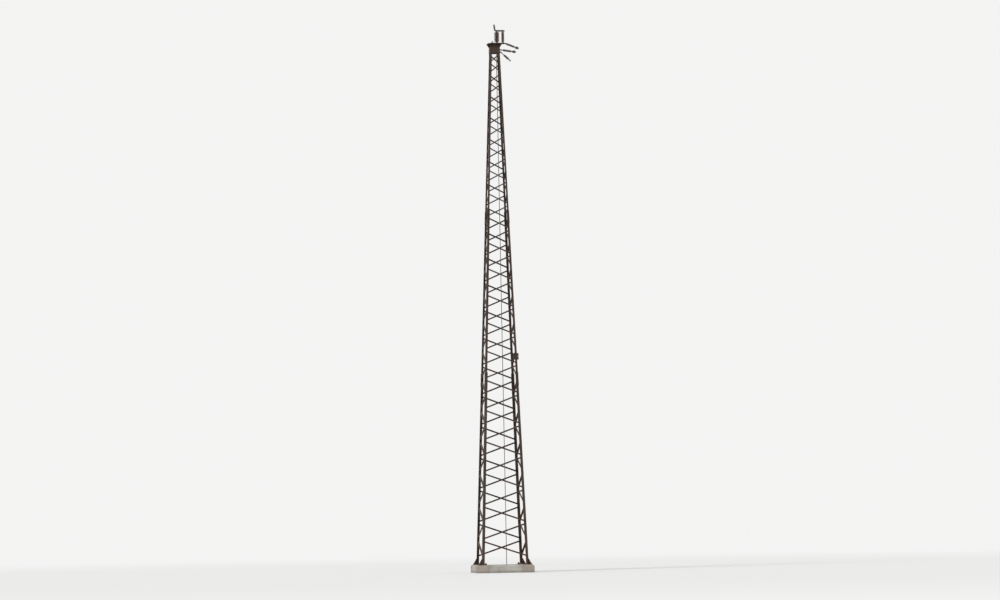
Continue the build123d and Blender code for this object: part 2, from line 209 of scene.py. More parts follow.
quarter_turns = np.array(
    [[[c, -s, 0.0], [s, c, 0.0], [0.0, 0.0, 1.0]] for c, s in ((1, 0), (0, 1), (-1, 0), (0, -1))]
)


def covered(rings):
    """A shape from a grid of rings, in which point (i, j) is the j-th round ring i.

    Each four neighbours make a face, and a flat face closes the first ring and the last.
    """
    index = np.arange(rings.shape[0] * rings.shape[1]).reshape(rings.shape[:2])
    beside = np.roll(index, -1, axis=1)
    faces = np.stack([index[:-1], beside[:-1], beside[1:], index[1:]], axis=-1)
    return rings.reshape(-1, 3), [faces.reshape(-1, 4), np.stack([index[0, ::-1], index[-1]])]


def piece(name, shapes, finish, smooth=False):
    """One object made of several shapes, with its finish, carried by the mast."""
    counts = [0, *np.cumsum([len(points) for points, groups in shapes])]
    faces = [
        face
        for (points, groups), first in zip(shapes, counts)
        for group in groups
        for face in (group + first).tolist()
    ]
    mesh = bpy.data.meshes.new(name)
    mesh.from_pydata(np.concatenate([points for points, groups in shapes]).tolist(), [], faces)
    if smooth:
        mesh.shade_smooth()
        mesh.set_sharp_from_angle(angle=math.radians(38))
    mesh.materials.append(finish.material)
    thing = bpy.data.objects.new(name, mesh)
    bpy.context.scene.collection.objects.link(thing)
    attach(thing, "root")
    return thing


def cast_block(profile, depth, columns):
    """A square block round Z from rows of half width and height, cast a little rough.

    Point (i, j) is the j-th point of the square's outline times half width i, at height i,
    moved inwards by depth(travel, along): travel is the way up the profile, and along is
    the way round the outline in half widths, from the front left corner.
    """
    along = np.arange(4 * columns) / columns * 2
    step = along[:columns] - 1
    front_side = np.stack([step, 0 * step - 1], axis=-1)
    outline = np.concatenate([front_side @ turn[:2, :2].T for turn in quarter_turns])
    rise = np.gradient(profile, axis=0)
    away = np.stack([rise[:, 1], -rise[:, 0]], axis=-1)
    away /= np.linalg.norm(away, axis=1)[:, None]
    steps = np.linalg.norm(np.diff(profile, axis=0), axis=1)
    travel = np.concatenate([[0.0], np.cumsum(steps)])
    moved = profile[:, None] - depth(travel[:, None], along)[..., None] * away[:, None]
    return covered(np.concatenate([moved[..., :1] * outline, moved[..., 1:]], axis=-1))


plinth_margin, plinth_bevel = 0.090, 0.050
plinth_half = shoe_centre + shoe_half + plinth_margin
bevel_foot = plinth_top - plinth_bevel
top_arris = bevel_foot + math.sqrt(2) * plinth_bevel
board_joints = np.array([board_width, 2 * board_width]) - board_cut
board_depth, fin_half, wave_depth, chip_depth = 0.0016, 0.004, 0.0006, 0.30
chance = np.random.default_rng(11)
waves = chance.uniform([0.5, 2.0, 0.0], [7.5, 30.0, 2 * np.pi], (9, 3))
board_sink = chance.uniform(0.0, 0.0022, (3, 4))

# Every fourth chip lies on an upright arris, but for the first, which lies on a wall. Of the
# three after it, the second lies on the lower arris of the bevel, and the others, which are
# smaller, on the upper one.
chip = np.arange(44)
upright = chip % 4 == 0
chip_along = np.where(upright & (chip > 0), chip / 2, chance.uniform(0.0, 8.0, len(chip)))
chip_travel = np.where(
    upright,
    chance.uniform(0.05, bevel_foot, len(chip)),
    np.where(chip % 2, top_arris, bevel_foot),
)
chip_size = chance.uniform(0.012, 0.034, len(chip)) * np.where(chip_travel < top_arris, 1.0, 0.55)


def cast_depth(travel, along):
    """How far the concrete lies inside the plain block, for cast_block.

    With t for travel and a for the angle 2 pi along / 8, it is the sum of three depths:
    a board's own depth times 1 - fin, where fin falls from its ragged height at a joint to 0
    at fin_half from it; wave_depth times 1 plus the mean of sin(4 f a + g t + p); and
    chip_depth times the height sqrt(s^2 - d^2) of a ball of radius s at distance d.
    """
    angle = np.pi * along / 4
    wave = sum(np.sin(4 * round(f) * angle + g * travel + p) for f, g, p in waves) / len(waves)
    board = np.clip(np.searchsorted(board_joints, travel), 0, 2)
    sink = board_depth + board_sink[board, (along // 2).astype(int) % 4]
    sink = sink * (travel < bevel_foot - 0.001)
    from_joint = np.abs(travel[..., None] - board_joints).min(axis=-1)
    ragged = 0.55 + 0.45 * np.sin(148 * angle + 3 * np.sin(44 * angle))
    fin = np.clip(1 - from_joint / fin_half, 0, 1) * ragged
    away = (along[..., None] - chip_along + 4) % 8 - 4
    far = (plinth_half * away) ** 2 + (travel[..., None] - chip_travel) ** 2
    ball = (chip_size * np.sqrt(np.clip(1 - far / chip_size**2, 0, 1))).max(axis=-1)
    return sink * (1 - fin) + wave_depth * (1 + wave) + chip_depth * ball


fin_heights = board_joints[:, None] + fin_half * np.array([-1.0, -0.25, 0.25, 1.0])
wall_heights = np.sort(np.append(np.linspace(0.0, bevel_foot, 24), fin_heights))
bevel_steps = plinth_bevel * np.linspace(0, 1, 8)[1:]
top_steps = plinth_bevel + np.geomspace(0.006, 1.24, 22)
inset = np.concatenate([0 * wall_heights, bevel_steps, top_steps])
height = np.concatenate([wall_heights, bevel_foot + bevel_steps, plinth_top + 0 * top_steps])
plinth_block = cast_block(np.column_stack([plinth_half - inset, height]), cast_depth, 300)
plinth = piece("cast_plinth", [plinth_block], concrete)
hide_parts("foundation_plinth")


# Shoes
# Base plates with two ribs each, cut from plate and welded to the foot of a leg. Mortar is
# packed round each plate, and four anchor bolts with washers and hexagon nuts hold it.

head_half, leg_top = 0.210, 24.430
leg_foot = plinth_top + 0.030
lean = (foot_half - head_half) / (leg_top - leg_foot)
tilt = math.atan(lean)
leg_width, leg_thickness = {"lower": 0.120, "middle": 0.100, "upper": 0.080}, 0.010

steel = Finish("weathered_mast_paint", Specular_IOR_Level=0.3)
steel.clouds = steel.grain(0.8, 4.0)
steel.patches = steel.grain(7.0, 7.0, roughness=0.66)
steel.runs = steel.grain(28.0, 4.0, (1.0, 1.0, 0.06))
steel.specks = steel.grain(140.0, 5.0, roughness=0.7)
steel.low = 1.0 - steel.height.rising(0.4, 3.0)
steel.dust = steel.upward.rising(0.35, 0.8)
from_corner = foot_half + lean * leg_foot - lean * steel.height
from_corner = from_corner - abs(steel.across).least(abs(steel.along))
worn = 1.0 - from_corner.rising(0.001, 0.014)
rusting = 0.5 * steel.patches + 0.3 * steel.runs + 0.2 * steel.specks
rusting = rusting + 0.05 * steel.low + 0.03 * steel.dust + 0.05 * worn
rusting = rusting.rising(0.50, 0.62)
paint = steel.mixed(
    steel.clouds.rising(0.30, 0.70), (0.022, 0.0145, 0.011, 1.0), (0.048, 0.034, 0.026, 1.0)
)
paint = steel.mixed(
    0.50 * steel.runs.rising(0.45, 0.75), paint, (0.074, 0.055, 0.041, 1.0)
)
rust = steel.mixed(steel.specks, (0.045, 0.016, 0.008, 1.0), (0.165, 0.064, 0.025, 1.0))
skin = steel.mixed(0.85 * rusting, paint, rust)
skin = steel.mixed(0.35 * steel.dust * steel.patches, skin, (0.16, 0.135, 0.11, 1.0))
steel.coat(
    skin,
    0.50 + 0.32 * rusting + 0.10 * steel.specks,
    0.15 * steel.specks + 0.85 * rusting * steel.specks + 0.3 * rusting,
    0.0016,
)


def galvanising(name, dark, light, sooty):
    """Spangled zinc from dark to light under this share of soot, with rust coming through."""
    finish = Finish(name, Metallic=0.55)
    cloud = finish.grain(14.0, 4.0)
    specks = finish.grain(160.0, 4.0)
    rusted = (0.7 * finish.grain(5.0, 6.0, roughness=0.62) + 0.3 * specks).rising(0.54, 0.66)
    coating = finish.mixed(finish.pits(70.0), dark, light)
    coating = finish.mixed(sooty * cloud, coating, (0.048, 0.039, 0.032, 1.0))
    coating = finish.mixed(0.75 * rusted, coating, (0.125, 0.048, 0.019, 1.0))
    dull = 0.48 + 0.3 * rusted + 0.12 * cloud
    finish.coat(coating, dull, 0.4 * specks + 0.6 * rusted, 0.0007)
    return finish


zinc = galvanising(
    "sooty_galvanising", (0.072, 0.063, 0.055, 1.0), (0.130, 0.117, 0.104, 1.0), 0.6
)


def turned(profile, flats):
    """A shape turned about Z from pairs of radius and height, lowest first.

    Point (i, j) is (r_i cos a_j, r_i sin a_j, h_i), with the angle a_j = 2 pi j / flats.
    """
    radius, height = np.array(profile, float).T[..., None]
    angle = 2 * np.pi * np.arange(flats) / flats
    return covered(
        np.stack([radius * np.cos(angle), radius * np.sin(angle), height + 0 * angle], axis=-1)
    )


weld_ripple = 0.012


def weld(start, end, first, second, leg):
    """A fillet weld in the corner between two plates.

    Point (i, j) lies i steps along the line from start to end, plus the bead's section at
    j: first times A_j plus second times B_j, times a leg that swells and thins once each
    weld_ripple. first and second point out of the corner along each plate.
    """
    start, end, first, second = (np.array(v, float) for v in (start, end, first, second))
    length = np.linalg.norm(end - start)
    steps = max(2, 2 * round(length / weld_ripple)) + 1
    share = np.linspace(0.0, 1.0, steps)[:, None, None]
    swell = leg * (1 + 0.09 * np.cos(np.pi * np.arange(steps)))[:, None, None]
    section = np.array([(-0.1, -0.1), (1.0, -0.1), (0.78, 0.40), (0.40, 0.78), (-0.1, 1.0)])
    if np.dot(np.cross(first, second), end - start) < 0:
        section = section[::-1]
    bead = section[:, :1] * first + section[:, 1:] * second
    return covered(start + share * (end - start) + swell * bead)


def placed(shape, places, frames):
    """Copies of a shape: each point becomes its place plus its frame's columns times x, y, z."""
    points, groups = shape
    places, frames = np.asarray(places, float), np.asarray(frames, float)
    copies = places[:, None] + np.einsum("vk,nik->nvi", points, frames)
    first = len(points) * np.arange(len(places))[:, None, None]
    return copies.reshape(-1, 3), [(g + first).reshape(-1, g.shape[1]) for g in groups]


def round_the_mast(shape):
    """A shape of the front or the front left corner, four times by quarter turns about Z."""
    return placed(shape, np.zeros((4, 3)), quarter_turns)


def twin_welds(start, end, first, second, leg):
    """A weld on the front left corner and its twin, which has X and Y exchanged."""
    line = [np.array(v, float) for v in (start, end, first, second)]
    return [weld(*line, leg), weld(*[v[[1, 0, 2]] for v in line], leg)]


rib_half, rib_reach, rib_height = 0.006, 0.130, 0.260
rib_line, rib_end = -foot_half + leg_width["lower"] / 2, -foot_half - rib_reach
rib_head, rib_top = -foot_half + lean * rib_height, leg_foot + rib_height
plate_weld, rib_weld = 0.010, 0.007
leg_toe = -foot_half + leg_width["lower"]
up = (0, 0, 1)
beads = []
for wall, away in ((-foot_half, -1.0), (-foot_half + leg_thickness, 1.0)):
    start, end = (wall, wall, leg_foot), (leg_toe, wall, leg_foot)
    beads += twin_welds(start, end, (0, away, 0), up, plate_weld)
for away in (-1.0, 1.0):
    face = rib_line + away * rib_half
    root = (-foot_half, face, leg_foot)
    beads += twin_welds((rib_end, face, leg_foot), root, (0, away, 0), up, rib_weld)
    beads += twin_welds(root, (rib_head, face, rib_top), (-1, 0, 0), (0, away, 0), rib_weld)
piece("shoe_welds", [round_the_mast(bead) for bead in beads], steel)

mortar_foot, mortar_top = shoe_half + 0.024, shoe_half + 0.002
mortar_line = [
    (mortar_foot, -0.002), (mortar_foot, 0.003), (mortar_foot - 0.010, 0.014), (mortar_top, 0.019)
]
mortar = turned(np.array(mortar_line) * [math.sqrt(2), 1.0] + [0.0, plinth_top], 4)
eighth = math.sqrt(0.5)
mortar_turn = [[[eighth, -eighth, 0], [eighth, eighth, 0], [0, 0, 1]]]
mortar = round_the_mast(placed(mortar, [(-shoe_centre, -shoe_centre, 0.0)], mortar_turn))
piece("mortar_beds", [mortar], concrete)

anchor_reach, anchor_radius = 0.140, 0.018
anchor_washer, washer_radius, anchor_nut, nut_across = 0.005, 0.034, 0.029, 0.055
nut_point = nut_across / math.sqrt(3)
thread_turns, thread_pitch, thread_depth = 9, 0.004, 0.0022
nut_seat = leg_foot + anchor_washer
nut_end = nut_seat + anchor_nut
flank = np.arange(2 * thread_turns)
thread = np.column_stack(
    [anchor_radius - thread_depth * (flank % 2), nut_end - 0.002 + flank * thread_pitch / 2]
)
thread = np.vstack([thread, [anchor_radius - 0.004, thread[-1, 1] + 0.003]])
washer = [
    (washer_radius, leg_foot),
    (washer_radius, nut_seat - 0.001),
    (washer_radius - 0.001, nut_seat),
]
nut = [
    (0.90 * nut_point, nut_seat),
    (nut_point, nut_seat + 0.003),
    (nut_point, nut_end - 0.004),
    (0.86 * nut_point, nut_end),
]
anchor_places = [
    (-shoe_centre + x, -shoe_centre + y, 0.0)
    for x in (-anchor_reach, anchor_reach)
    for y in (-anchor_reach, anchor_reach)
]
anchors = [
    round_the_mast(placed(turned(profile, flats), anchor_places, [np.eye(3)] * 4))
    for profile, flats in ((washer, 20), (nut, 6), (thread, 12))
]
piece("anchor_bolts", anchors, steel)

corners = ["front_left", "front_right", "back_right", "back_left"]
finish_nodes(steel, *[f"shoe_{corner}" for corner in corners])


# Legs and splices
# Rolled angles with rounded roots in three lengths, smaller towards the head. Cover angles
# lie outside their joints, held by hexagon bolts with washers and nuts inside.

front = np.array(
    [
        [1.0, 0.0, 0.0],
        [0.0, math.sin(tilt), -math.cos(tilt)],
        [0.0, math.cos(tilt), math.sin(tilt)],
    ]
)
outward = front[:, 2]
cover_thickness = 0.010
lacing_foot, head_foot = rib_top + 0.060, leg_top - 0.420
panel_ratio, panels = 0.985, 38
first_panel = (head_foot - lacing_foot) * (1 - panel_ratio) / (1 - panel_ratio**panels)
lower_joint, middle_joint = 11, 23
bolt_line = {stage: 0.58 * width for stage, width in leg_width.items()}
bar_offset = 0.070
m20, m16, m12, m10, m8 = 0.030, 0.024, 0.019, 0.016, 0.013  # bolts' widths across flats


def level(k):
    """Height of panel line k: the panels' heights are a falling geometric series."""
    return lacing_foot + first_panel * (1 - panel_ratio**k) / (1 - panel_ratio)


def half_width(z):
    """Half of the mast's width over its legs, which falls evenly with height."""
    return foot_half - lean * (z - leg_foot)


def on_front(x, z, out=0.0):
    """Points on the inner surface of the front leg flanges, moved outwards by out."""
    x, z = np.broadcast_arrays(np.asarray(x, float), np.asarray(z, float))
    points = np.stack([x, leg_thickness - half_width(z), z], axis=-1)
    return points + np.asarray(out, float)[..., None] * outward


def bolt_head(across):
    """A hexagon head that stands on z = 0, with its points chamfered off at the top."""
    point, rise = across / math.sqrt(3), 0.42 * across
    return turned([(point, 0.0), (point, 0.80 * rise), (0.84 * point, rise)], 6)


def bolt_end(across):
    """Washer, hexagon nut and thread end, from z = 0 down, for the other side of a bolt."""
    point, washer, nut = across / math.sqrt(3), 0.12 * across, 0.56 * across
    rim, end = 1.0752 * point, -washer - nut
    thread = [(0.24, end - 0.22 * across), (0.30, end - 0.14 * across), (0.30, end)]
    return [
        turned([(rim, -washer), (rim, 0.0)], 12),
        turned([(0.84 * point, end), (point, -washer - 0.84 * nut), (point, -washer)], 6),
        turned([(share * across, z) for share, z in thread], 8),
    ]


def bolts(across, heads, ends, frames):
    """Hexagon bolts: a head at each of the first places, and washer and nut at the second."""
    shapes = [placed(bolt_head(across), heads, frames)]
    return shapes + [placed(part, ends, frames) for part in bolt_end(across)]


def front_bolts(across, x, z, head_seat, nut_seat):
    """Bolts square through the front, all seats measured from the flanges' inner surface."""
    frames = np.broadcast_to(front, (len(x), 3, 3))
    return bolts(across, on_front(x, z, head_seat), on_front(x, z, nut_seat), frames)


def root_fillets(radius, starts, runs, first, second):
    """Concave fillets in the roots of angles, along straight runs from their starts.

    The section's points are the corner and radius times (1 - sin a, 1 - cos a) over a
    quarter turn, measured out of the corner along first and second.
    """
    turn = np.linspace(0.0, np.pi / 2, 6)
    arc = np.column_stack([1 - np.sin(turn), 1 - np.cos(turn)])
    section = radius * np.vstack([np.zeros((1, 2)), arc])
    prism = np.array([np.column_stack([section, np.full(len(section), end)]) for end in (0, 1)])
    first, second, runs = np.broadcast_arrays(first, second, runs)
    return placed(covered(prism), starts, np.stack([first, second, runs], axis=-1))


leg_lengths = [
    (leg_foot, level(lower_joint), 0.012),
    (level(lower_joint), level(middle_joint), 0.010),
    (level(middle_joint), leg_top, 0.008),
]
leg_fillets = []
for low, high, radius in leg_lengths:
    root = leg_thickness - half_width(low)
    run = (high - low) * np.array([[lean, lean, 1.0]])
    fillet = root_fillets(radius, [(root, root, low)], run, (1.0, 0.0, 0.0), (0.0, 1.0, 0.0))
    leg_fillets.append(round_the_mast(fillet))
piece("leg_root_fillets", leg_fillets, steel, smooth=True)

splice_rows = np.array([0.14, 0.20, 0.26])
splice_steps = np.concatenate([-splice_rows[::-1], splice_rows])
free_steps = np.array([-bar_offset, bar_offset])
for stage, joint, across in (("lower", lower_joint, m20), ("middle", middle_joint, m16)):
    z = level(joint) + np.concatenate([splice_steps, splice_steps, free_steps])
    side = np.repeat([-1.0, 1.0], [len(splice_steps), len(splice_steps) + len(free_steps)])
    x = side * (half_width(z) - bolt_line[stage])
    shapes = front_bolts(
        across, x, z, np.full(len(z), leg_thickness + cover_thickness), np.zeros(len(z))
    )
    shapes = [round_the_mast(shape) for shape in shapes]
    piece(f"{stage}_splice_bolts", shapes, steel)
    finish_nodes(steel, f"{stage}_splice_covers")
finish_nodes(steel, *[f"{stage}_leg_{corner}" for stage in leg_width for corner in corners])


# Bracing
# One zigzag of angle bars with rounded roots on each side, behind the leg flanges. One bolt
# holds each end, with its head on the flange, or on the cover angle where a joint lies.

bar_thickness, bar_overrun, bar_root = 0.006, 0.022, 0.009
joint_reach = 0.300
bar_runs = {
    "lower": (0, lower_joint, m20, 0.070),
    "middle": (lower_joint, middle_joint, m16, 0.065),
    "upper": (middle_joint, panels, m12, 0.055),
}
sides = ["front", "right", "back", "left"]
bar_fillets = []
for stage, (first, last, across, width) in bar_runs.items():
    bar = np.arange(first, last)
    side = np.where(bar % 2 == 0, 1.0, -1.0)
    low, high = level(bar) + bar_offset, level(bar + 1) - bar_offset
    z = np.concatenate([low, high])
    x = np.concatenate([side, -side]) * (half_width(z) - bolt_line[stage])
    near_joint = np.abs(z[:, None] - level(np.array([lower_joint, middle_joint]))).min(axis=1)
    head_seat = leg_thickness + cover_thickness * (near_joint < joint_reach)
    shapes = front_bolts(across, x, z, head_seat, np.full(len(z), -bar_thickness))
    shapes = [round_the_mast(shape) for shape in shapes]
    piece(f"{stage}_bracing_bolts", shapes, steel)
    finish_nodes(steel, *[f"{stage}_lacing_{face}" for face in sides])

    low_end, high_end = np.split(on_front(x, z), 2)
    left = np.where(side[:, None] < 0, low_end, high_end)
    run = np.where(side[:, None] < 0, high_end, low_end) - left
    run_length = np.linalg.norm(run, axis=1)[:, None]
    over = np.cross(outward, run / run_length)
    left = left - run / run_length * bar_overrun - outward * bar_thickness
    left = left + over * (width / 2 - bar_thickness)
    run = run * (1 + 2 * bar_overrun / run_length)
    bar_fillets.append(round_the_mast(root_fillets(bar_root, left, run, -over, -outward)))
piece("bar_root_fillets", bar_fillets, steel, smooth=True)


# Earth strip
# A flat galvanised strip up the outside of the front bars. Saddle clips bent from thin strip
# hold it to every second bar, each with two small bolts.

strip_x, strip_half, strip_thickness = 0.060, 0.015, 0.006
clip_half, clip_thickness, clip_foot, clip_bolt = 0.009, 0.003, 0.022, 0.014
clip_bar = np.arange(0, panels, 2)
clip_line = np.select(
    [clip_bar < lower_joint, clip_bar < middle_joint],
    [bolt_line["lower"], bolt_line["middle"]],
    bolt_line["upper"],
)
clip_low, clip_high = level(clip_bar) + bar_offset, level(clip_bar + 1) - bar_offset
clip_right, clip_left = half_width(clip_low) - clip_line, clip_line - half_width(clip_high)
clip_share = (clip_right - strip_x) / (clip_right - clip_left)
clip_z = clip_low + clip_share * (clip_high - clip_low)
clip_slope = np.arctan2((clip_low - clip_high) / math.cos(tilt), clip_right - clip_left)
run, rise, zero = np.cos(clip_slope), np.sin(clip_slope), 0 * clip_slope
clip_turns = np.array([[run, -rise, zero], [rise, run, zero], [zero, zero, zero + 1]])
clip_frames = np.einsum("ij,jkn->nik", front, clip_turns)
clip_reach = (strip_half + clip_half * np.abs(rise)) / run


def saddle_clip(reach):
    """A clip along X over the strip, from two feet on z = 0 to a flat of half length reach.

    Point (i, j) is (x_i, y_j, z_i + u_j): x and z follow the bent line of the underside,
    and y and u go round the thin section.
    """
    line = np.array(
        [(reach + 0.002 + clip_foot, 0.0), (reach + 0.003, 0.0), (reach, strip_thickness)]
    )
    x, z = np.concatenate([line * [-1.0, 1.0], line[::-1]]).T[..., None]
    y = clip_half * np.array([1.0, 1.0, -1.0, -1.0])
    return covered(
        np.stack(np.broadcast_arrays(x, y, z + clip_thickness * np.array([0, 1, 1, 0])), axis=-1)
    )


clips = []
clip_places = on_front(np.full(len(clip_bar), strip_x), clip_z)
for place, turn, reach in zip(clip_places, clip_frames, clip_reach):
    clips.append(placed(saddle_clip(reach), [place], [turn]))
    for x in (-reach - clip_bolt, reach + clip_bolt):
        centre = place + turn[:, 0] * x
        head, end = centre + outward * clip_thickness, centre - outward * bar_thickness
        clips += bolts(m8, [head], [end], [turn])
piece("earth_strip_clips", clips, zinc)
finish_nodes(zinc, "earth_strip")


# Side plate
# A thick steel plate with an eye, on the front right leg at two fifths of the height. Four
# bolts hold it, with washers and nuts behind the leg's flange.

plate_z, plate_thickness = level(lower_joint) + 1.030, 0.012
near_line, far_line, row_reach = 0.028, 0.074, 0.100
plate_rows = plate_z + row_reach * np.array([-1, -1, 1, 1])
plate_steps = half_width(plate_rows) - np.array([near_line, far_line, near_line, far_line])
plate_seats = np.full(4, leg_thickness + plate_thickness), np.zeros(4)
plate_bolts = front_bolts(m16, plate_steps, plate_rows, *plate_seats)
piece("wire_plate_bolts", plate_bolts, steel)
finish_nodes(steel, "side_wire_plate")


# Head
# Four plates close the head round the ends of the legs, bolted to them in one row each. Two
# welded ribs on each plate prop the wider cap plate, and the right plate has two lugs.

mast_top, head_plate, head_bolt_line = leg_top + 0.020, 0.012, 0.040
head_rows = head_foot + np.array([0.045, 0.128, 0.210, 0.292, 0.375])
head_z = np.tile(head_rows, 2)
head_x = np.repeat([-1.0, 1.0], len(head_rows)) * (half_width(head_z) - head_bolt_line)
head_seats = np.full(len(head_z), leg_thickness + head_plate), np.zeros(len(head_z))
head_bolts = front_bolts(m16, head_x, head_z, *head_seats)
piece("head_bolts", [round_the_mast(shape) for shape in head_bolts], steel)

head_weld, lug_half, lug_radius = 0.006, 0.007, 0.028
cap_half, cap_rib_line, cap_rib_half = 0.340, 0.150, 0.005
cap_rib_foot, cap_rib_end = leg_top - 0.170, 0.020 - cap_half
span_lug, stay_lug = mast_top - 0.270, mast_top - 0.375


def up_the_head(x, low, high, away):
    """A weld up the outside of the front head plate at x, on the side that away points to."""
    ends = [(x, -half_width(z) - head_plate, z) for z in (low, high)]
    return weld(*ends, (0, -1, 0), (away, 0, 0), head_weld)


head_beads = []
for centre in (-cap_rib_line, cap_rib_line):
    for away in (-1.0, 1.0):
        face = centre + away * cap_rib_half
        root = (face, -half_width(leg_top) - head_plate, leg_top)
        tip = (face, cap_rib_end, leg_top)
        head_beads.append(up_the_head(face, cap_rib_foot, leg_top, away))
        head_beads.append(weld(root, tip, (away, 0, 0), (0, 0, -1), head_weld))
head_beads = [round_the_mast(bead) for bead in head_beads]
for lug in (span_lug, stay_lug):
    for away in (-1.0, 1.0):
        bead = up_the_head(away * lug_half, lug - lug_radius, lug + lug_radius, away)
        head_beads.append(placed(bead, np.zeros((1, 3)), quarter_turns[1:2]))
piece("head_welds", head_beads, steel)
finish_nodes(steel, *[f"head_plate_{face}" for face in sides], "head_cap")


# Outrigger
# A channel laid on its flanges, welded along them to the cap. It reaches out to the right,
# with an eye plate let in under the end of its web and a small lug welded on top.

outrigger_start, outrigger_end, outrigger_half = -0.180, 0.460, 0.060
web_top, web_thickness = mast_top + 0.060, 0.008
web_under = web_top - web_thickness
eye_start, back_lug = outrigger_end - 0.088, -0.094
weld_lines = [
    (outrigger_start, cap_half, outrigger_half, mast_top, 1, 0.008),
    (eye_start, outrigger_end, lug_half, web_under, -1, 0.005),
    (back_lug - lug_radius, back_lug + lug_radius, lug_half, web_top, 1, 0.005),
]
outrigger_beads = [
    weld((start, away * y, z), (end, away * y, z), (0, away, 0), (0, 0, rise), leg)
    for away in (-1.0, 1.0)
    for start, end, y, z, rise, leg in weld_lines
]
piece("outrigger_welds", outrigger_beads, steel)
finish_nodes(steel, "outrigger")


# Post insulators
# Two glazed porcelain posts with ten sheds each, cemented into cast collars. Each foot is
# bolted to the outrigger's web by four bolts, and a pressed cap closes the top.

glaze = Finish("brown_glaze", IOR=1.5, Coat_Roughness=0.12)
glaze.cloud = glaze.grain(18.0, 4.0)
glaze.dirt = glaze.grain(60.0, 6.0, roughness=0.65)
dusty = (0.75 * glaze.upward.rising(0.10, 0.75) + 0.35 * glaze.dirt).rising(0.30, 1.05)
clay = glaze.mixed(glaze.cloud, (0.052, 0.016, 0.007, 1.0), (0.135, 0.050, 0.021, 1.0))
clay = glaze.mixed(0.40 * dusty, clay, (0.135, 0.098, 0.068, 1.0))
sooty = (-glaze.upward).rising(0.10, 0.60) * (0.70 + 0.30 * glaze.dirt)
clay = glaze.mixed(0.80 * sooty, clay, (0.030, 0.020, 0.015, 1.0))
matt = (0.50 * dusty + 0.65 * sooty).least(0.72)
glaze.coat(clay, 0.16 + matt, glaze.cloud + 0.4 * glaze.dirt * matt, 0.0008)
glaze.tree.links.new((0.6 * (1.0 - matt)).socket, glaze.shader.inputs["Coat Weight"])

# The post feet's zinc has the same spangle, soot and rust as the rest, but it is painted pale:
# that lightness is a painted reflection of sky glare.
sky_glare_zinc = galvanising(
    "sky_glare_galvanising", (0.250, 0.238, 0.220, 1.0), (0.400, 0.385, 0.365, 1.0), 0.35
)

cement = Finish("joint_cement")
cement.crumbs = cement.grain(220.0, 5.0)
cement.soot = cement.grain(30.0, 4.0)
grey = cement.mixed(cement.soot, (0.20, 0.19, 0.17, 1.0), (0.36, 0.35, 0.32, 1.0))
cement.coat(grey, 0.80 + 0.15 * cement.crumbs, cement.crumbs, 0.0008)


def smoothed(line, steps):
    """A line drawn smoothly near its points: a uniform cubic B-spline through their hull.

    Each span is the cubic basis at each step times four neighbours, with the ends held.
    """
    line = np.array([line[0]] * 2 + list(line) + [line[-1]] * 2, float)
    t = np.arange(steps)[:, None] / steps
    basis = np.hstack([(1 - t) ** 3, 3 * t**3 - 6 * t**2 + 4, 3 * (t + t**2 - t**3) + 1, t**3]) / 6
    spans = np.stack([line[n : len(line) - 3 + n] for n in range(4)], axis=1)
    return np.einsum("tn,snc->stc", basis, spans).reshape(-1, 2)


def shed_line(core, rim, length, sheds):
    """Outline of a glazed insulator on the Z axis, as radius and height from its lower end.

    Each shed has a ribbed underside, a thin rim and a top that falls away from the core.
    """
    shed = np.array(
        [
            (0.00, 0.04), (0.00, 0.17), (0.07, 0.27), (0.22, 0.27), (0.30, 0.31), (0.40, 0.27),
            (0.50, 0.26), (0.58, 0.31), (0.68, 0.30), (0.76, 0.23), (0.88, 0.24), (0.96, 0.21),
            (1.00, 0.24), (1.00, 0.44), (0.98, 0.50), (0.90, 0.54), (0.60, 0.65), (0.30, 0.76),
            (0.10, 0.85), (0.00, 0.92), (0.00, 0.98),
        ]
    )
    pitch = length / sheds
    lift = np.repeat(np.arange(sheds), len(shed)) * [[0.0], [1.0]]
    line = np.tile(shed, (sheds, 1)) + lift.T
    return np.vstack(
        [[(core, 0.0)], line * [rim - core, pitch] + [core, 0.0], [(core, length)]]
    )


foot_plate, collar_height = 0.016, 0.034
post_length, post_core, post_shed_count = 0.450, 0.048, 10
foot_top = web_top + foot_plate
post_bottom = foot_top + collar_height
post_top = post_bottom + post_length
post_lines = (0.120, 0.400)
post_places = [(x, 0.0, 0.0) for x in post_lines]
for name, place, rim in zip(("inner", "outer"), post_places, (0.125, 0.075)):
    line = smoothed(shed_line(post_core, rim, post_length, post_shed_count), 2)
    shape = placed(turned(line + [0.0, post_bottom], 44), [place], [np.eye(3)])
    post = piece(f"{name}_post_glazed", [shape], glaze, smooth=True)
    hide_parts(f"{name}_post_insulator")

joint_ring = [
    (0.0515, post_bottom - 0.002), (0.0515, post_bottom + 0.001),
    (0.0500, post_bottom + 0.004), (0.0475, post_bottom + 0.005),
]
cap_ring = [
    (0.0500, post_top - 0.014), (0.0520, post_top - 0.012), (0.0520, post_top - 0.004),
    (0.0500, post_top - 0.001), (0.0470, post_top),
]
post_joints = placed(turned(joint_ring, 32), post_places, [np.eye(3)] * 2)
piece("post_cement", [post_joints], cement, smooth=True)
post_caps = placed(turned(cap_ring, 32), post_places, [np.eye(3)] * 2)
piece("post_caps", [post_caps], zinc, smooth=True)

bolt_x, bolt_y = 0.045, 0.044
foot_places = np.array(
    [(x + dx, dy, 0.0) for x in post_lines for dx in (-bolt_x, bolt_x) for dy in (-bolt_y, bolt_y)]
)
foot_heads, foot_ends = foot_places + [0.0, 0.0, foot_top], foot_places + [0.0, 0.0, web_under]
foot_bolts = bolts(m10, foot_heads, foot_ends, [np.eye(3)] * len(foot_places))
piece("post_foot_bolts", foot_bolts, zinc)
# The post feet take the pale zinc, galvanising with a painted sky glare.
finish_nodes(sky_glare_zinc, "post_feet")
finish_nodes(zinc, "post_saddles")


# Link bar
# A flat bar set on edge in the saddles of both posts and bent up into a horn. Two bolts
# through each saddle's cheeks pinch it.

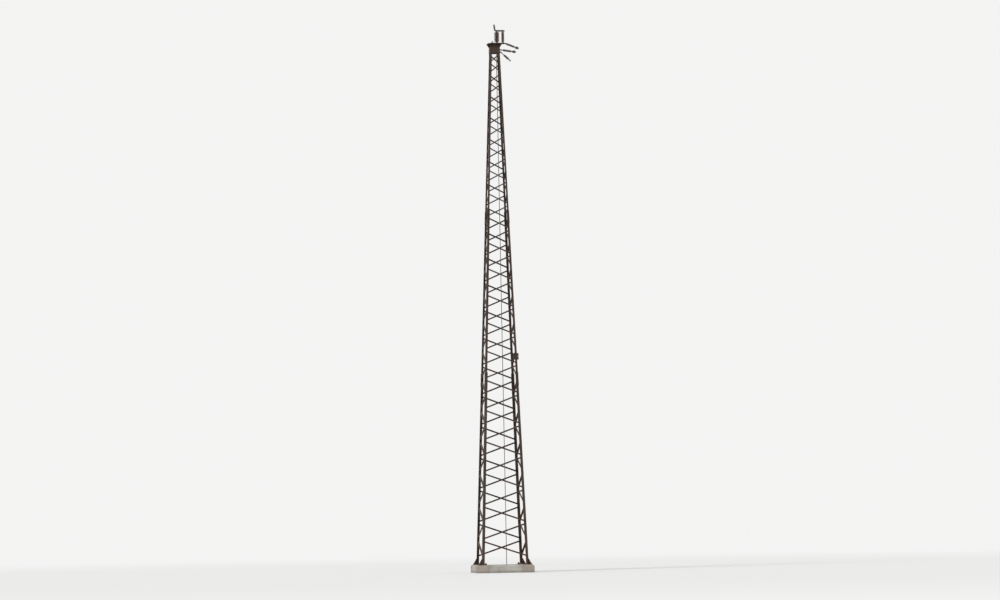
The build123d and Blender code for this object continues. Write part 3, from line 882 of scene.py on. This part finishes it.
bar_metal = Finish("sooty_bus_bar", Metallic=0.75)
bar_metal.rub = bar_metal.grain(60.0, 4.0, (0.15, 1.0, 1.0))
bar_metal.soot = bar_metal.grain(9.0, 6.0, roughness=0.62)
bar_skin = bar_metal.mixed(
    bar_metal.rub, (0.118, 0.100, 0.083, 1.0), (0.195, 0.172, 0.148, 1.0)
)
bar_skin = bar_metal.mixed(
    0.85 * bar_metal.soot.rising(0.40, 0.68), bar_skin, (0.046, 0.035, 0.027, 1.0)
)
bar_metal.coat(bar_skin, 0.36 + 0.40 * bar_metal.soot, bar_metal.rub, 0.0004)

cheek, pinch_reach, pinch_level = 0.030, 0.017, post_top + 0.056
pinch_places = np.array(
    [(x + dx, 0.0, pinch_level) for x in post_lines for dx in (-pinch_reach, pinch_reach)]
)
facing = np.array([[1.0, 0.0, 0.0], [0.0, 0.0, -1.0], [0.0, 1.0, 0.0]])
pinch = bolts(
    m10,
    pinch_places + [0.0, -cheek, 0.0],
    pinch_places + [0.0, cheek, 0.0],
    [facing] * len(pinch_places),
)
piece("saddle_bolts", pinch, zinc)
finish_nodes(bar_metal, "link_bar")


# Forks, rod insulators and clamps
# Three forged forks on the lugs, each with a glazed rod insulator and a cast wedge clamp.
# Split pins lock the fork bolts, and two bolts draw each clamp's keeper plates together.

lug_neck = 0.055
lug_reach = half_width(head_foot) + head_plate + lug_neck

# Each end's eye, slope in degrees, length of fork and of rod, number of sheds, clamp's size
span_ends = [
    ((outrigger_end + lug_neck, 0.0, (mast_top + web_top) / 2), 21.0, 0.110, 0.290, 5, 1.00),
    ((lug_reach, 0.0, span_lug), 8.0, 0.160, 0.290, 5, 1.00),
    ((lug_reach, 0.0, stay_lug), 42.0, 0.260, 0.180, 3, 0.55),
]
rod_core, rod_rim = 0.035, 0.060
mouth_ring = np.array([(0.042, -0.001), (0.042, 0.001), (0.038, 0.004), (0.0345, 0.005)])
bolt_tail = [(0.0102, 0.031), (0.0102, 0.040), (0.0086, 0.042)]
pin_leg = np.array([(-0.0006, 0.0, 0.012), (-0.0007, 0.0, -0.012), (-0.006, 0.0, -0.019)])
pin_eye, pin_drop, pin_radius = 0.0045, 0.0185, 0.0012
clamp_base, clamp_half, keeper_thickness = 0.086, 0.025, 0.0045
clamp_body, clamp_width = 0.180, 0.058
keeper_face = np.array([0.0, clamp_half + keeper_thickness, 0.0])
keeper_shape = np.array(
    [(-0.42, 0.10), (0.42, 0.10), (0.72, 0.34), (0.72, 0.54), (-0.72, 0.54), (-0.72, 0.34)]
)


def rod(line, across, radius, flats):
    """A round rod bent along a flat line: ring i lies square to the line's direction at i.

    The ring's points are radius (cos a n + sin a m), where m is square to the flat that the
    line lies in, and n lies in that flat and is square to the line.
    """
    line, across = np.asarray(line, float), np.asarray(across, float)
    along = np.gradient(line, axis=0)
    along /= np.linalg.norm(along, axis=1)[:, None]
    beside = np.cross(across, along)
    angle = 2 * np.pi * np.arange(flats)[:, None] / flats
    ring = np.cos(angle) * beside[:, None] + np.sin(angle) * across
    return covered(line[:, None] + radius * ring)


def bent_pin():
    """A split pin: up one leg, round the eye through 270 degrees, and down the other leg.

    The eye's points are (r sin a, 0, d + r cos a), for its radius r and its distance d.
    """
    turn = np.linspace(-0.75 * np.pi, 0.75 * np.pi, 13)
    ring = np.column_stack([np.sin(turn), 0 * turn, np.cos(turn)]) * pin_eye + [0, 0, pin_drop]
    line = np.concatenate([pin_leg[::-1], ring, pin_leg * [-1.0, 1.0, 1.0]])
    return rod(line, (0.0, 1.0, 0.0), pin_radius, 6)


def keeper_plate(half, body, away):
    """A six-sided plate on the side of a clamp that away points to, with a chamfered face.

    Point (i, j) is corner j of the outline, drawn in to size_i about the outline's middle
    and standing up_i above the clamp's side.
    """
    outline = (keeper_shape if away > 0 else keeper_shape[::-1]) * [half, body]
    middle = outline.mean(axis=0)
    rings = np.array([(1.0, 0.0), (1.0, 0.003), (0.92, keeper_thickness)])
    size, up = rings.T[..., None, None]
    flat = middle + (outline - middle) * size + [0.0, clamp_base]
    out = np.broadcast_to(away * (clamp_half + up), (*flat.shape[:2], 1))
    return covered(np.concatenate([out, flat], axis=-1))


split_pin, pin_place = bent_pin(), [0.0, 0.037, 0.0]
glazed, joints, fixings = [], [], []
for eye, slope, fork_length, length, sheds, share in span_ends:
    angle = math.radians(slope)
    down = np.array([math.cos(angle), 0.0, -math.sin(angle)])
    over = np.array([math.sin(angle), 0.0, math.cos(angle)])
    pull = np.column_stack([(0.0, 1.0, 0.0), over, down])
    start = np.array(eye) + fork_length * down
    clamp = start + length * down
    line = smoothed(shed_line(rod_core, rod_rim, length, sheds), 2)
    glazed.append(placed(turned(line, 30), [start], [pull]))
    joints.append(placed(turned(mouth_ring, 24), [start], [pull]))
    joints.append(placed(turned(mouth_ring[::-1] * [1.0, -1.0], 24), [clamp], [pull]))

    sideways = np.column_stack([over, down, (0.0, 1.0, 0.0)])
    fixings.append(placed(turned(bolt_tail, 12), [eye], [sideways]))
    pin_frame = np.column_stack([down, (0.0, 1.0, 0.0), over])
    fixings.append(placed(split_pin, [np.array(eye) + pin_place], [pin_frame]))

    body, half = clamp_body * share, clamp_width * share
    for away in (-1.0, 1.0):
        fixings.append(placed(keeper_plate(half, body, away), [clamp], [pull]))
    across = m16 if share > 0.9 else m10
    for along_body in (0.24, 0.45):
        middle = clamp + (clamp_base + along_body * body) * down
        head, end = middle - keeper_face, middle + keeper_face
        bolt_frame = np.column_stack([down, -over, (0.0, -1.0, 0.0)])
        fixings += bolts(across, [head], [end], [bolt_frame])

span_glaze = piece("span_rods_glazed", glazed, glaze, smooth=True)
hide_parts("span_insulators")
piece("span_cement", joints, cement, smooth=True)
piece("span_fixings", fixings, zinc)
finish_nodes(zinc, "span_forks", "wire_clamps")


# Floor, light and camera
# A pale floor that fades into a pale surround, one soft lamp high on the left, even light
# all round, and the camera in the photograph's direction, 160 m off and near the ground.

surround = (0.90, 0.90, 0.895, 1.0)
even_light = (0.52, 0.52, 0.52, 1.0)
floor_reach = 900.0
floor_mesh = bpy.data.meshes.new("floor")
floor_mesh.from_pydata(
    [(x * floor_reach, y * floor_reach, 0.0) for x, y in ((-1, -1), (1, -1), (1, 1), (-1, 1))],
    [],
    [(0, 1, 2, 3)],
)
floor = bpy.data.objects.new("floor", floor_mesh)
bpy.context.scene.collection.objects.link(floor)


def seen_or_lit(nodes):
    """The surround's colour for rays from camera, mirrors and glass, or else the even light."""
    seen = nodes.add("ShaderNodeLightPath", {}, {}, "Is Camera Ray")
    seen = seen.most(nodes.add("ShaderNodeLightPath", {}, {}, "Is Glossy Ray"))
    seen = seen.most(nodes.add("ShaderNodeLightPath", {}, {}, "Is Transmission Ray"))
    return nodes.mixed(seen, even_light, surround)


ground = Finish("pale_floor", Roughness=0.9, Base_Color=(0.80, 0.80, 0.795, 1.0))
far = ground.add("ShaderNodeVectorMath", {"operation": "LENGTH"}, {0: ground.place}, "Value")
matt_paint = Shade(ground, ground.shader.outputs["BSDF"])
glow = ground.add("ShaderNodeEmission", {}, {"Color": seen_or_lit(ground)})
blend = ground.add("ShaderNodeMixShader", {}, {0: far.rising(26.0, 80.0), 1: matt_paint, 2: glow})
ground.tree.links.new(blend.socket, ground.tree.nodes["Material Output"].inputs["Surface"])
floor_mesh.materials.append(ground.material)

world = bpy.data.worlds.new("surround")
world.use_nodes = True
bpy.context.scene.world = world
air = NodeWork(world.node_tree)
background = world.node_tree.nodes["Background"]
world.node_tree.links.new(seen_or_lit(air).socket, background.inputs["Color"])

lamp = bpy.data.lights.new("soft_lamp", "SUN")
lamp.energy = 2.3
lamp.angle = math.radians(16.0)
lamp_thing = bpy.data.objects.new("soft_lamp", lamp)
lamp_thing.rotation_euler = (math.radians(48.0), 0.0, math.radians(-52.0))
bpy.context.scene.collection.objects.link(lamp_thing)

camera_place = Vector((-20.8, -160.0, 2.42))
look_at = Vector((0.08, 0.0, 12.55))
lens = bpy.data.cameras.new("camera")
lens.sensor_width = 36.0
lens.lens = 126.0
lens.clip_end = 2000.0
camera = bpy.data.objects.new("camera", lens)
camera.location = camera_place
aim = (look_at - camera_place).to_track_quat("-Z", "Y")
camera.rotation_euler = (aim @ Quaternion((0.0, 0.0, 1.0), math.radians(-0.9))).to_euler()
bpy.context.scene.collection.objects.link(camera)
bpy.context.scene.camera = camera
bpy.context.scene.view_settings.view_transform = "Standard"
